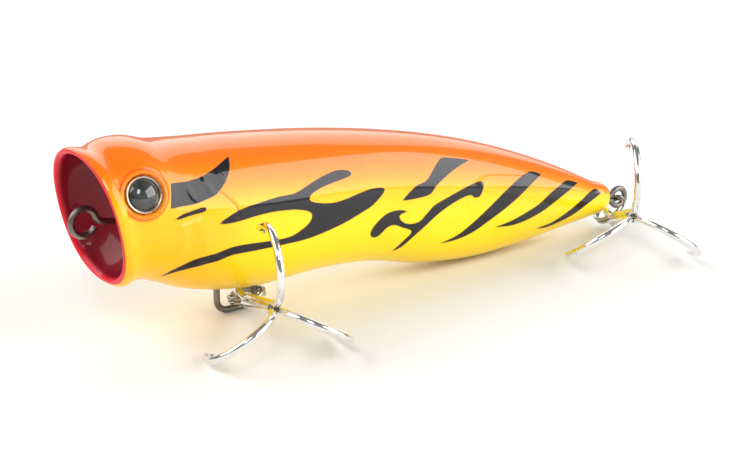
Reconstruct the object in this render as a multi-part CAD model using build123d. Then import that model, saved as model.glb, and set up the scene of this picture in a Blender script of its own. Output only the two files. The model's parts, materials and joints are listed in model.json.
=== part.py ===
"""Topwater popper: a hollow two-piece fishing lure with a through wire, two treble hooks and a rattle.

Millimetres. The origin is the centre of the tow eye. +X runs towards the tail, +Z is up and the parting
plane of the body is y = 0. The body is drawn level, with its axis on X, and then turned nose-up by
REST_PITCH, which is how it lies on a table: on its belly hanger, its tail and the points of its hooks.
"""

import math
import os

from build123d import *

# ---- driving dimensions -------------------------------------------------------------------------
REST_PITCH = 8.1            # nose-up attitude at rest, degrees
FLOOR_Z = -24.6             # the table below the tow eye
WALL = 1.8                  # moulded wall of the body halves
SECTION_POWER = 2.25        # 2 is an ellipse, more is squarer
WIRE = 1.3                  # stainless through wire and belly hanger, diameter
GROOVE_GAP = 0.05           # air between a wire and its moulded groove, on the radius

# Body stations: distance along the axis, back height, belly height, half width, forward lean in degrees
STATIONS = [
    (0.9, 13.9, -12.1, 12.5, 19.6),
    (2.5, 14.3, -12.5, 12.9, 19.0),
    (4.2, 14.3, -11.8, 12.4, 17.0),
    (6.6, 15.7, -11.3, 12.6, 13.5),
    (9.4, 16.4, -11.2, 13.0, 9.0),
    (13.6, 15.8, -11.8, 13.1, 4.0),
    (20.0, 15.9, -13.3, 13.2, 0.0),
    (28.0, 16.4, -14.3, 13.1, 0.0),
    (38.0, 16.8, -14.0, 12.7, 0.0),
    (51.0, 17.0, -11.6, 11.9, 0.0),
    (65.0, 16.6, -10.5, 11.0, 0.0),
    (79.0, 15.5, -11.7, 10.2, 0.0),
    (93.0, 13.4, -11.1, 8.9, 0.0),
    (106.0, 10.4, -8.7, 7.0, 0.0),
    (118.0, 6.8, -5.8, 4.7, 0.0),
    (126.0, 4.0, -3.9, 3.1, 0.0),
    (129.8, 2.9, -2.8, 2.3, 0.0),
    (131.0, 1.9, -1.9, 1.5, 0.0),
]
SECTION_POINTS = 24
CAVITY_FROM, CAVITY_TO = 5, 14      # stations between which the body is hollow

# Mouth cup, an ellipsoid hollow square to the slanted face
LIP = 1.1
CUP_DEPTH = 9.5

# Eyes
EYE_X, EYE_Z = 5.6, 8.0
EYE_NORMAL = (-0.20, 0.93, 0.30)    # on the +Y side
EYE_R = 4.0
EYE_DISC_T = 0.5
EYE_GAP = 0.05
EYE_DOME_H = 1.5
SOCKET_R, SOCKET_RISE, SOCKET_DEPTH, SOCKET_EDGE = 5.4, 0.35, 5.0, 0.45

# Through wire
TOW_LOOP_R = 2.7                    # to the wire's centre line
TAIL_LOOP_R = 1.95
TAIL_EYE_X = 134.5
LOOP_RETURN_R = 2.2
LOOP_END = 21.0                     # degrees short of the axis where the wire's end stops

# Belly hanger, square to the table
HANGER_X = 28.9                     # front leg, measured along the table from the tow eye
HANGER_SPAN = 8.8
HANGER_BEND_R = 2.3
HANGER_TOP_Z = -11.5
HANGER_FOOT = 3.4                   # bent-over ends that key into the body
HANGER_BLOCK_MARGIN, HANGER_BLOCK_W, HANGER_BLOCK_H, HANGER_BLOCK_DROP = 2.0, 6.4, 12.0, 3.0

# Split rings
RING_R = 3.6                        # to the wire's centre line
RING_WIRE = 0.75
RING_PITCH = 0.8                    # between the two turns
RING_RAMP = 60.0                    # degrees taken by the cross-over
RING_ENDS = 200.0                   # where the wire's ends lie round the ring, degrees

# Treble hooks
HOOK_WIRE = 1.5
HOOK_REACH = 15.7                   # shank axis to the outermost point of the wire's centre line
HOOK_SHANK = 25.4                   # eye centre to the start of the bend
HOOK_POINT = 7.3
POINT_LEAN = 7.0                    # degrees that a point leans in towards the shank
POINT_TAPER = 4.0
POINT_TIP_R = 0.06
HOOK_EYE_R = 2.05
SHANK_GAP = 0.05                    # braze between neighbouring wires of the bundle
BARB_LENGTH, BARB_HEIGHT, BARB_T = 1.9, 0.7, 0.5
BRAZE_R, BRAZE_LENGTH = 1.3, 15.0

# Rattle and ballast
BALL_R = 3.4
BALLS = ("rear", "middle", "front")
RATTLE_TRAVEL = 8.0
RATTLE_END_X, RATTLE_Z = 94.0, 4.6
CHAMBER_R = 3.6
CHAMBER_WALL = 1.0
CHAMBER_SPARE = 0.2                 # room left over at the ends of the balls' travel
BALL_GAP = 0.02
BALLASTS = {                        # centre x, centre z, radius, length
    "belly_ballast": (53.5, -5.4, 3.6, 15.0),
    "tail_ballast": (84.0, -6.0, 3.0, 14.0),
}
BALLAST_GAP, BALLAST_EDGE = 0.05, 0.8
CRADLE_MARGIN, CRADLE_HEIGHT, CRADLE_DROP = 1.0, 9.0, 3.0       # block that a weight is bedded in

BULKHEADS = [20.0, 44.5, 62.5, 97.5, 110.0]
BULKHEAD_T = 2.0
SPINE_HALF_HEIGHT = 2.4             # web along the parting plane that carries the through wire
SPINE_HALF_WIDTH = 1.9
PIN_R, PIN_LENGTH = 1.2, 2.2
PIN_BOSS_R, PIN_BOSS_LENGTH = 2.5, 14.0
PIN_GAP = 0.05
PIN_PLACES = [(20.0, 9.0), (20.0, -8.5), (62.5, 12.0), (97.5, -5.5)]

AT_REST = Location((0, 0, 0), (0, REST_PITCH, 0))


# ---- body ---------------------------------------------------------------------------------------
def section(x, top, bottom, half_width, lean, inset=0.0):
    """One closed station outline: a rounded oval, leaning forward at the top by lean degrees."""
    centre, half_height = (top + bottom) / 2, (top - bottom) / 2 - inset
    half_width -= inset
    slope = math.tan(math.radians(lean))
    points = []
    for k in range(SECTION_POINTS):
        angle = 2 * math.pi * k / SECTION_POINTS
        side, up = math.sin(angle), math.cos(angle)
        y = half_width * math.copysign(abs(side) ** (2 / SECTION_POWER), side)
        rise = half_height * math.copysign(abs(up) ** (2 / SECTION_POWER), up)
        points.append(Vector(x - rise * slope, y, centre + rise))
    return Wire([Spline(*points, periodic=True)])


def body_outside():
    return Solid.make_loft([section(*station) for station in STATIONS])


def body_hollow():
    stations = STATIONS[CAVITY_FROM:CAVITY_TO + 1]
    rings = [section(x, top, bottom, width, 0.0, WALL) for x, top, bottom, width, _ in stations]
    return Solid.make_loft(rings)


def mouth_cup():
    """The scoop in the face. Its rim follows the lip at an even thickness."""
    x, top, bottom, width, lean = STATIONS[0]
    half_height = (top - bottom) / 2 / math.cos(math.radians(lean))
    bowl = scale(Sphere(1), by=(CUP_DEPTH, width - LIP, half_height - LIP))
    return Pos(x, 0, (top + bottom) / 2) * Rot(0, -lean, 0) * bowl


def half_space(side, size=400):
    return Pos(0, side * size / 2, 0) * Box(size, size, size)


def station_at(x):
    """Back, belly and half width of the body at x, straight between the stations."""
    for a, b in zip(STATIONS, STATIONS[1:]):
        if a[0] <= x <= b[0]:
            share = (x - a[0]) / (b[0] - a[0])
            return [p + share * (q - p) for p, q in zip(a[1:4], b[1:4])]
    raise ValueError(f"{x} is off the body")


def side_half_width(x, z):
    top, bottom, width = station_at(x)
    rise = abs(z - (top + bottom) / 2) / ((top - bottom) / 2)
    return width * (1 - rise ** SECTION_POWER) ** (1 / SECTION_POWER)


def eye_plane(side):
    normal = Vector(EYE_NORMAL[0], side * EYE_NORMAL[1], EYE_NORMAL[2]).normalized()
    origin = Vector(EYE_X, side * side_half_width(EYE_X, EYE_Z), EYE_Z)
    return Plane(origin=origin, x_dir=(1, 0, 0), z_dir=normal)


def socket_boss():
    """Raised round collar that an eye sits in."""
    boss = Cylinder(SOCKET_R, SOCKET_DEPTH)
    return fillet(boss.edges().filter_by(GeomType.CIRCLE).sort_by(Axis.Z)[-1], SOCKET_EDGE)


def rod(points, radius):
    """Round wire along a path of straight runs, its corners rounded to the bend radius."""
    path = FilletPolyline(*points, radius=HANGER_BEND_R)
    return sweep(Plane(origin=path @ 0, z_dir=path % 0) * Circle(radius), path=path)


def hanger_points():
    """The belly staple's centre line in the resting frame: foot, leg, bar, leg, foot."""
    low = FLOOR_Z + WIRE / 2
    front, rear = HANGER_X, HANGER_X + HANGER_SPAN
    return [
        Vector(front - HANGER_FOOT, 0, HANGER_TOP_Z),
        Vector(front, 0, HANGER_TOP_Z),
        Vector(front, 0, low),
        Vector(rear, 0, low),
        Vector(rear, 0, HANGER_TOP_Z),
        Vector(rear + HANGER_FOOT, 0, HANGER_TOP_Z),
    ]


def loop_and_lead(radius, lead_to, wire_radius):
    """An eye centred on the origin whose wire runs off along +X to lead_to."""
    take_off = math.sqrt((radius + LOOP_RETURN_R) ** 2 - LOOP_RETURN_R ** 2)
    meet = math.degrees(math.atan2(LOOP_RETURN_R, take_off))
    lead = Line((lead_to, 0, 0), (take_off, 0, 0))
    turn_centre = Plane(origin=(take_off, 0, LOOP_RETURN_R), x_dir=(1, 0, 0), z_dir=(0, -1, 0))
    bend = turn_centre * CenterArc((0, 0), LOOP_RETURN_R, -90, -(90 - meet))
    eye = Plane(origin=(0, 0, 0), x_dir=(1, 0, 0), z_dir=(0, -1, 0)) * CenterArc(
        (0, 0), radius, meet, 360 - meet - LOOP_END
    )
    path = Wire([lead, bend, eye])
    return sweep(Plane(origin=lead @ 0, z_dir=lead % 0) * Circle(wire_radius), path=path)


def through_wire(radius=WIRE / 2):
    """One wire from the tow eye in the mouth to the tail eye."""
    middle = TAIL_EYE_X / 2
    tow = loop_and_lead(TOW_LOOP_R, middle, radius)
    tail = Pos(TAIL_EYE_X, 0, 0) * Rot(0, 0, 180) * loop_and_lead(TAIL_LOOP_R, middle, radius)
    return tow + tail


def ball_x(index):
    """Centre of a rattle ball at rest, where all of them have rolled to the tail end of the chamber."""
    return RATTLE_END_X - BALL_R - 2 * BALL_R * index - BALL_GAP * (index + 1)


def chamber(radius, grow=0.0):
    length = 2 * BALL_R * len(BALLS) + RATTLE_TRAVEL + CHAMBER_SPARE + 2 * grow
    return Pos(RATTLE_END_X - length / 2 + grow, 0, RATTLE_Z) * Rot(0, 90, 0) * Cylinder(radius, length)


def ballast(x, z, radius, length):
    slug = Cylinder(radius, length)
    return Pos(x, 0, z) * Rot(0, 90, 0) * fillet(slug.edges().filter_by(GeomType.CIRCLE), BALLAST_EDGE)


def moulded_inside():
    """What stays of the plastic inside the cavity: bulkheads, wire spine, bosses, chamber and cradle."""
    keep = [Pos(x, 0, 0) * Box(BULKHEAD_T, 60, 60) for x in BULKHEADS]
    spine_length = STATIONS[CAVITY_TO][0]
    keep.append(Pos(spine_length / 2, 0, 0) * Box(spine_length, 2 * SPINE_HALF_WIDTH, 2 * SPINE_HALF_HEIGHT))
    front, rear = HANGER_X - HANGER_FOOT, HANGER_X + HANGER_SPAN + HANGER_FOOT
    block = Box(rear - front + 2 * HANGER_BLOCK_MARGIN, HANGER_BLOCK_W, HANGER_BLOCK_H)
    keep.append(AT_REST.inverse() * Pos((front + rear) / 2, 0, HANGER_TOP_Z - HANGER_BLOCK_DROP) * block)
    keep.append(chamber(CHAMBER_R + CHAMBER_WALL, CHAMBER_WALL))
    for x, z, radius, length in BALLASTS.values():
        cradle = Box(length + 2 * CRADLE_MARGIN, 2 * (radius + CRADLE_MARGIN), CRADLE_HEIGHT)
        keep.append(Pos(x, 0, z - CRADLE_DROP) * cradle)
    for x, z in PIN_PLACES:
        keep.append(Pos(x, 0, z) * Rot(90, 0, 0) * Cylinder(PIN_BOSS_R, PIN_BOSS_LENGTH))
    return keep


def body_half():
    """The right-hand shell, hollow between the cup and the tail, before its pin holes."""
    place = eye_plane(1)
    half = body_outside() & half_space(1)
    half += place * Pos(0, 0, SOCKET_RISE - SOCKET_DEPTH / 2) * socket_boss()
    half -= place * Pos(0, 0, 2 - EYE_DISC_T) * Cylinder(EYE_R + EYE_GAP, 4)
    half -= body_hollow() - moulded_inside()
    half -= mouth_cup()
    half -= through_wire(WIRE / 2 + GROOVE_GAP)
    half -= AT_REST.inverse() * rod(hanger_points(), WIRE / 2 + GROOVE_GAP)
    half -= chamber(CHAMBER_R)
    for x, z, radius, length in BALLASTS.values():
        pocket = Cylinder(radius + BALLAST_GAP, length + 2 * BALLAST_GAP)
        half -= Pos(x, 0, z) * Rot(0, 90, 0) * pocket
    return half


def body_halves():
    """Left and right shells, mirror images but for the pins on the left and their holes on the right."""
    right = body_half()
    left = mirror(right, about=Plane.XZ)
    for x, z in PIN_PLACES:
        spot = Pos(x, 0, z) * Rot(90, 0, 0)
        left += spot * Cylinder(PIN_R, 2 * PIN_LENGTH)
        right -= spot * Cylinder(PIN_R + PIN_GAP, 2 * PIN_LENGTH + 0.2)
    return left, right


# ---- eyes ---------------------------------------------------------------------------------------
def eye_disc(side):
    return eye_plane(side) * Pos(0, 0, -EYE_DISC_T / 2) * Cylinder(EYE_R, EYE_DISC_T)


def eye_dome(side):
    ball_radius = (EYE_R ** 2 + EYE_DOME_H ** 2) / (2 * EYE_DOME_H)
    cap = Pos(0, 0, EYE_DOME_H - ball_radius) * Sphere(ball_radius)
    cap &= Pos(0, 0, 5) * Box(20, 20, 10)
    return eye_plane(side) * cap


# ---- split rings --------------------------------------------------------------------------------
def split_ring():
    """Two turns of round wire about +Z with one cross-over, centred on the origin."""
    half = RING_PITCH / 2
    run = 360 - RING_RAMP
    first = Pos(0, 0, -half) * CenterArc((0, 0), RING_R, 0, run)
    second = Pos(0, 0, half) * CenterArc((0, 0), RING_R, 0, run)
    ramp = Spline(first @ 1, second @ 0, tangents=[first % 1, second % 0])
    path = Wire([first, ramp, second])
    return sweep(Plane(origin=path @ 0, z_dir=path % 0) * Circle(RING_WIRE / 2), path=path)


# ---- treble hooks -------------------------------------------------------------------------------
# A hook is drawn with its eye at the origin, its shank down -Z and the arm of the single hook over +X.
SHANK_OFFSET = (HOOK_WIRE + SHANK_GAP) / math.sqrt(3)     # from the hook's axis to each wire of the bundle


def hook_arm(angle, top):
    """One hook of the treble: a shank from top, a round bend and a barbed point that leans in."""
    bend_r = (HOOK_REACH - SHANK_OFFSET) / 2
    bend_x, low, radius = SHANK_OFFSET + bend_r, -HOOK_SHANK, HOOK_WIRE / 2
    upright = Plane(origin=(bend_x, 0, low), x_dir=(1, 0, 0), z_dir=(0, -1, 0))
    shank = Line((SHANK_OFFSET, 0, top), (SHANK_OFFSET, 0, low))
    bend = upright * CenterArc((0, 0), bend_r, 180, 180 + POINT_LEAN)
    up_point = bend % 1
    neck = Line(bend @ 1, bend @ 1 + up_point * (HOOK_POINT - POINT_TAPER))
    arm = sweep(Plane(origin=shank @ 0, z_dir=shank % 0) * Circle(radius), path=Wire([shank, bend, neck]))
    inward = Vector(-up_point.Z, 0, up_point.X)
    taper = Plane(origin=neck @ 1, x_dir=-inward, z_dir=up_point)
    arm += taper * Pos(0, 0, POINT_TAPER / 2) * Cone(radius, POINT_TIP_R, POINT_TAPER)
    barb = make_face(Polyline(
        (-radius + 0.35, BARB_LENGTH),
        (-radius - BARB_HEIGHT, -0.4),
        (-radius + 0.4, -0.6),
        close=True,
    ))
    barb_plane = Plane(origin=neck @ 1, x_dir=-inward, z_dir=(0, -1, 0))
    arm += extrude(barb_plane * barb, BARB_T / 2, both=True)
    return Rot(0, 0, angle) * arm


def hook_pair():
    """The bent pair: one wire that makes two arms and the eye between them."""
    eye = Rot(0, 90, 0) * Torus(HOOK_EYE_R, HOOK_WIRE / 2)
    into_eye = -0.15
    return eye + hook_arm(120, into_eye - HOOK_EYE_R) + hook_arm(240, into_eye - HOOK_EYE_R)


def hook_single():
    """The third arm, which stops short of the eye."""
    return hook_arm(0, -HOOK_EYE_R - HOOK_WIRE / 2 - 0.5)


def hook_braze():
    """Silver braze that fills the three-wire bundle along the shank."""
    middle = -HOOK_SHANK + BRAZE_LENGTH / 2 + 1.0
    fill = Pos(0, 0, middle) * Cylinder(BRAZE_R, BRAZE_LENGTH)
    for angle in (0, 120, 240):
        fill -= Rot(0, 0, angle) * Pos(SHANK_OFFSET, 0, middle) * Cylinder(HOOK_WIRE / 2, BRAZE_LENGTH + 2)
    return fill


# ---- where the hanging hardware rests, in the resting frame ---------------------------------------
def direction(azimuth, elevation):
    a, e = math.radians(azimuth), math.radians(elevation)
    return Vector(math.cos(e) * math.cos(a), math.cos(e) * math.sin(a), math.sin(e))


def hook_place(eye, shank, roll):
    """Location of a hook whose shank runs along shank. Roll turns its single arm away from straight up."""
    up = Vector(0, 0, 1)
    upright = (up - shank * up.dot(shank)).normalized()
    return Location(Plane(origin=eye, x_dir=upright, z_dir=-shank)) * Rot(0, 0, -roll)


def ring_place(centre, normal):
    return Location(Plane(origin=centre, z_dir=normal)) * Rot(0, 0, RING_ENDS)


HOOKS = {                           # eye centre, shank direction, roll of the single arm
    "belly": (Vector(33.05, -3.5, -21.3), direction(-108.1, 15.0), 122.0),
    "tail": (Vector(127.7, -4.55, -21.95), direction(-121.1, 19.1), 119.5),
}
RINGS = {                           # centre, and the normal of the ring's plane
    "belly": (Vector(35.43, -0.66, -21.64), direction(132.1, 77.7)),
    "tail": (Vector(129.78, -1.38, -20.84), direction(162.0, 52.4)),
}


def write(name, shape):
    shape.label = name
    export_step(shape, f"parts/{name}.step")


def main():
    os.makedirs("parts", exist_ok=True)
    left, right = body_halves()
    write("body_left_half", AT_REST * left)
    write("body_right_half", AT_REST * right)
    write("through_wire", AT_REST * through_wire())
    write("belly_hanger", rod(hanger_points(), WIRE / 2))
    for name, size in BALLASTS.items():
        write(name, AT_REST * ballast(*size))
    for index, place in enumerate(BALLS):
        write(f"rattle_ball_{place}", AT_REST * Pos(ball_x(index), 0, RATTLE_Z) * Sphere(BALL_R))
    for side, word in ((-1, "left"), (1, "right")):
        write(f"{word}_eye_disc", AT_REST * eye_disc(side))
        write(f"{word}_eye_dome", AT_REST * eye_dome(side))
    for word in ("belly", "tail"):
        place = hook_place(*HOOKS[word])
        write(f"{word}_split_ring", ring_place(*RINGS[word]) * split_ring())
        write(f"{word}_hook_pair", place * hook_pair())
        write(f"{word}_hook_single", place * hook_single())
        write(f"{word}_hook_braze", place * hook_braze())


main()
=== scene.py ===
# %% [markdown]
# # A topwater popper
# The lure is a hollow plastic body with a scooped mouth, round eyes, one through wire with an eye at each
# end, a wire staple under the belly, and two treble hooks on split rings. Its moulded halves are one smooth
# form, so the body is drawn as a tube of rings, sculpted, and only then cut in two. The drawn halves are
# closed and solid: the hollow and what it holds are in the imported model. The wires are drawn along their
# centre lines. Every hook arm is made by extruding and spinning a round section.
#
# Pieces are drawn in millimetres, in the body's level frame, the hook's own frame or the resting frame, and
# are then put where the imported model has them, so that model is loaded first.

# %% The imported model
import json
import math

import bmesh
import bpy
import numpy as np
from mathutils import Matrix, Vector


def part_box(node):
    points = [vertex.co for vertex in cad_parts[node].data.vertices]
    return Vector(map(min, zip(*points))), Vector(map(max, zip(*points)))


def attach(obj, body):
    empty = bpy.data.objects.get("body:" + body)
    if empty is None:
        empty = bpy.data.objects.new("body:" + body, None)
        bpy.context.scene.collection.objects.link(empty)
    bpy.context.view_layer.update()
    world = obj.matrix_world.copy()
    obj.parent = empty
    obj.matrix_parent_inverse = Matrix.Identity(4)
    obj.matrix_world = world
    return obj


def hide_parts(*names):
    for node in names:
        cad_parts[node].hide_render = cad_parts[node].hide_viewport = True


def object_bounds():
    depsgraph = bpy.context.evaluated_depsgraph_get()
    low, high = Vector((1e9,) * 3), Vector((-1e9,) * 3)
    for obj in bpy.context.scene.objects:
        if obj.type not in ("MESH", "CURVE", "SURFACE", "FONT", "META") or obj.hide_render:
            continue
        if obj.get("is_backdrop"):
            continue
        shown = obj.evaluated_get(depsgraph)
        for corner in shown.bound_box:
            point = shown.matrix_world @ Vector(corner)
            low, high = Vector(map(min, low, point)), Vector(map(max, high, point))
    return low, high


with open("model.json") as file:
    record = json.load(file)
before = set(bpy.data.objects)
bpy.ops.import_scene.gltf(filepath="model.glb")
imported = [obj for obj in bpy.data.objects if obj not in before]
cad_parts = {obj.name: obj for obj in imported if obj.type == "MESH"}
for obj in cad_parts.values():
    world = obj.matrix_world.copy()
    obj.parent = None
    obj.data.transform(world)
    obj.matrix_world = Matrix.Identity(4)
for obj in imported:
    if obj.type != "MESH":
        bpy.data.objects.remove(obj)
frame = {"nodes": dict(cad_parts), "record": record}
cad_low, cad_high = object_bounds()
MM = 0.001
print("packed model, mm:", [round(v / MM, 1) for v in (*cad_low, *cad_high)])

# %% [markdown]
# ## The level frame
# At rest the lure lies nose-up, on its belly staple and its hooks. A body is much easier to draw level. The
# two wire eyes are on the body's axis, so the line between their mounts gives the pitch, and one matrix
# takes level millimetres to the resting place in metres.

# %% From level millimetres to the resting place
mounts = {mount["name"]: Vector(mount["pos_m"]) for mount in frame["record"]["mounts"]}
tow_eye, tail_eye = mounts["tow_eye"], mounts["tail_eye"]
pitch = math.atan2(tow_eye.z - tail_eye.z, tail_eye.x - tow_eye.x)
LEVEL_TO_REST = Matrix.Translation(tow_eye) @ Matrix.Rotation(pitch, 4, "Y") @ Matrix.Scale(MM, 4)
TAIL_EYE_X = (tail_eye - tow_eye).length / MM
FLOOR_Z = cad_low.z
print(f"pitch {math.degrees(pitch):.2f} degrees, tail eye at {TAIL_EYE_X:.1f} mm")
print(f"floor at {FLOOR_Z / MM:.1f} mm")

# %% [markdown]
# ## The view and the light
# The camera comes first, so that each piece can be looked at as soon as it is made. A long lens from half a
# metre away keeps the body's lines nearly parallel. Three big soft boxes do the work: one in front, which
# draws the broad gloss on the flank, one behind and above, which draws the pale line along the back, and
# one on the left, which lights the floor by the nose. The dark gap between the first two leaves the band of
# deep orange. A small box puts the glint in the eye, and a weak white world fills the shadows.

# %% Camera
camera_data = bpy.data.cameras.new("camera")
camera_data.lens = 113.9
camera_data.sensor_width = 36.0
camera = bpy.data.objects.new("camera", camera_data)
bpy.context.collection.objects.link(camera)
CAMERA_TARGET = Vector((67.0, 0.0, -13.0)) * MM
CAMERA_DISTANCE = 486.6 * MM
camera_azimuth, camera_elevation = math.radians(-35.26), math.radians(18.01)
toward_camera = Vector((
    math.sin(camera_azimuth) * math.cos(camera_elevation),
    -math.cos(camera_azimuth) * math.cos(camera_elevation),
    math.sin(camera_elevation),
))
camera.location = CAMERA_TARGET + toward_camera * CAMERA_DISTANCE
camera.rotation_euler = (-toward_camera).to_track_quat("-Z", "Y").to_euler()
camera_data.clip_start = 0.01
bpy.context.scene.camera = camera
print("camera at", [round(v, 3) for v in camera.location])


# %% Soft boxes
def soft_box(name, direction, distance, size, radiance):
    """A rectangular area light that faces the lure from a direction, with an even brightness."""
    light = bpy.data.lights.new(name, "AREA")
    light.shape = "RECTANGLE"
    light.size, light.size_y = size
    light.energy = radiance * math.pi * size[0] * size[1]
    box = bpy.data.objects.new(name, light)
    bpy.context.collection.objects.link(box)
    away = Vector(direction).normalized()
    box.location = CAMERA_TARGET + away * distance
    box.rotation_euler = away.to_track_quat("Z", "Y").to_euler()
    box.visible_camera = False
    print(f"{name}: {light.energy:.1f} W")


soft_box("front_soft_box", (0.60, -0.68, 0.38), 0.75, (0.90, 0.62), 3.3)
soft_box("back_soft_box", (0.50, 0.62, 0.50), 0.85, (1.10, 0.62), 1.6)
soft_box("left_soft_box", (-0.72, 0.42, 0.60), 0.85, (0.90, 0.60), 3.4)
soft_box("eye_light", (-0.52, -0.58, 0.63), 0.60, (0.14, 0.24), 7.0)

# %% World
world = bpy.data.worlds.new("white_room")
bpy.context.scene.world = world
world.use_nodes = True
sky = world.node_tree
room = sky.nodes["Background"]
room.inputs["Color"].default_value = (1.0, 0.98, 0.95, 1.0)
room.inputs["Strength"].default_value = 0.26
backdrop = sky.nodes.new("ShaderNodeBackground")
backdrop.inputs["Strength"].default_value = 1.0
choose = sky.nodes.new("ShaderNodeMixShader")
rays = sky.nodes.new("ShaderNodeLightPath")
sky.links.new(rays.outputs["Is Camera Ray"], choose.inputs[0])
sky.links.new(room.outputs[0], choose.inputs[1])
sky.links.new(backdrop.outputs[0], choose.inputs[2])
sky.links.new(choose.outputs[0], sky.nodes["World Output"].inputs["Surface"])
bpy.context.scene.view_settings.view_transform = "Standard"
print("world strength", room.inputs["Strength"].default_value)

# %% [markdown]
# ## Shader sums as plain Python
# Most finishes need a little arithmetic on masks. Node by node that is long and hard to read, so a small
# class wraps an output socket and turns + - * into Math nodes. Every other node comes from one method
# that takes the node's type, its settings and the values or links of its sockets.


# %% Shader values and finishes
class Value:
    """One output socket. Arithmetic on it adds Math nodes to its finish."""

    def __init__(self, finish, socket):
        self.finish, self.socket = finish, socket

    def sum(self, operation, *terms):
        return self.finish.node("Math", {"operation": operation}, dict(enumerate(terms)))

    def __add__(self, other):
        return self.sum("ADD", self, other)

    def __sub__(self, other):
        return self.sum("SUBTRACT", self, other)

    def __rsub__(self, other):
        return self.sum("SUBTRACT", other, self)

    def __mul__(self, other):
        return self.sum("MULTIPLY", self, other)

    __radd__ = __add__
    __rmul__ = __mul__

    def step(self, low, high):
        """0 below low, 1 above high, and smooth between. It runs the other way where low > high."""
        ends = {"From Min": low, "From Max": high}
        if low > high:
            ends = {"From Min": high, "From Max": low, "To Min": 1.0, "To Max": 0.0}
        return self.finish.node("MapRange", {"interpolation_type": "SMOOTHSTEP"}, {"Value": self, **ends})


class Finish:
    """A material, with its Principled shader's fixed values set directly."""

    def __init__(self, name, **fixed):
        self.material = bpy.data.materials.new(name)
        self.material.use_nodes = True
        self.tree = self.material.node_tree
        self.shader = self.tree.nodes["Principled BSDF"]
        for socket, value in fixed.items():
            self.shader.inputs[socket.replace("_", " ")].default_value = value

    def node(self, kind, settings=None, sockets=None, output=0):
        """Adds a node: first its settings, then the values or links of its sockets."""
        made = self.tree.nodes.new("ShaderNode" + kind)
        for key, value in (settings or {}).items():
            if key == "stops":
                for number, (place, colour) in enumerate(value):
                    stops = made.color_ramp.elements
                    stop = stops[number] if number < len(stops) else stops.new(place)
                    stop.position, stop.color = place, (*colour, 1.0)
            else:
                setattr(made, key, value)
        for key, value in (sockets or {}).items():
            if isinstance(value, Value):
                self.tree.links.new(value.socket, made.inputs[key])
            else:
                made.inputs[key].default_value = value
        return Value(self, made.outputs[output])

    def place(self):
        """Object coordinates, which are metres at rest."""
        return self.node("TexCoord", output="Object")

    def noise(self, scale, detail=2.0, roughness=0.5):
        """Smooth noise from 0 to 1."""
        sockets = {"Vector": self.place(), "Scale": scale, "Detail": detail, "Roughness": roughness}
        return self.node("TexNoise", {}, sockets)

    def attribute(self, name):
        return self.node("Attribute", {"attribute_name": name}, output="Fac")

    def blend(self, share, first, second):
        """Mixes two colours, each a triple or a Value."""
        ends = {6: first, 7: second}
        full = {k: v if isinstance(v, Value) else (*v, 1.0) for k, v in ends.items()}
        return self.node("Mix", {"data_type": "RGBA"}, {0: share, **full}, output=2)

    def bump(self, height, strength, distance):
        return self.node("Bump", {}, {"Height": height, "Strength": strength, "Distance": distance})

    def wear(self, **inputs):
        """Links what varies over the surface to the shader."""
        for name, value in inputs.items():
            self.tree.links.new(value.socket, self.shader.inputs[name.replace("_", " ")])
        return self.material


print("shader helpers ready")

# %% [markdown]
# ## The body: a tube of rings
# The body could be sculpted from a ball, or lofted between outlines. A tube gives the most control here: a
# circle is extruded once for each station, and every ring is then set to its station, a rounded oval with
# its own width, height and forward lean. The tube starts at the bottom of the mouth cup, comes forward to
# the rim, turns over the lip and runs back to the tail, so that cup, lip and body are one skin.

# %% Stations of the outside
# Distance along the axis, back, belly, half width, and forward lean at the top in degrees.
STATIONS = [
    (0.9, 13.9, -12.1, 12.5, 19.6),
    (2.5, 14.3, -12.5, 12.9, 19.0),
    (4.2, 14.2, -11.9, 12.3, 17.0),
    (6.6, 15.7, -11.3, 12.6, 13.5),
    (9.4, 16.4, -11.2, 13.0, 9.0),
    (13.6, 15.8, -11.8, 13.1, 4.0),
    (20.0, 15.9, -13.3, 13.2, 0.0),
    (28.0, 16.4, -14.3, 13.1, 0.0),
    (38.0, 16.8, -14.0, 12.7, 0.0),
    (51.0, 17.0, -11.6, 11.9, 0.0),
    (65.0, 16.6, -10.5, 11.0, 0.0),
    (79.0, 15.5, -11.7, 10.2, 0.0),
    (93.0, 13.4, -11.1, 8.9, 0.0),
    (106.0, 10.4, -8.7, 7.0, 0.0),
    (118.0, 6.8, -5.8, 4.7, 0.0),
    (126.0, 4.0, -3.9, 3.1, 0.0),
    (129.8, 2.9, -2.8, 2.3, 0.0),
    (131.0, 1.8, -1.8, 1.4, 0.0),
    (131.3, 0.9, -0.9, 0.8, 0.0),
]
SECTION_POWER = 2.25                    # 2 is an ellipse, more is squarer
LIP = 1.1                               # width of the rim round the cup
CUP_DEPTH = 9.5


def smooth_row(rows, at):
    """The values of a table at a first-column value, on a smooth curve through its rows."""
    table = np.array(rows)
    x, values = table[:, 0], table[:, 1:]
    slopes = np.gradient(values, x, axis=0)
    k = int(np.clip(np.searchsorted(x, at) - 1, 0, len(x) - 2))
    gap = x[k + 1] - x[k]
    t = (at - x[k]) / gap
    return (
        (1 + 2 * t) * (1 - t) ** 2 * values[k]
        + t * (1 - t) ** 2 * gap * slopes[k]
        + t ** 2 * (3 - 2 * t) * values[k + 1]
        + t ** 2 * (t - 1) * gap * slopes[k + 1]
    )


FACE_X, FACE_TOP, FACE_BELLY, FACE_WIDTH, FACE_LEAN = STATIONS[0]
lean = math.radians(FACE_LEAN)
FACE_Z = (FACE_TOP + FACE_BELLY) / 2
FACE_HALF_HEIGHT = (FACE_TOP - FACE_BELLY) / 2

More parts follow.
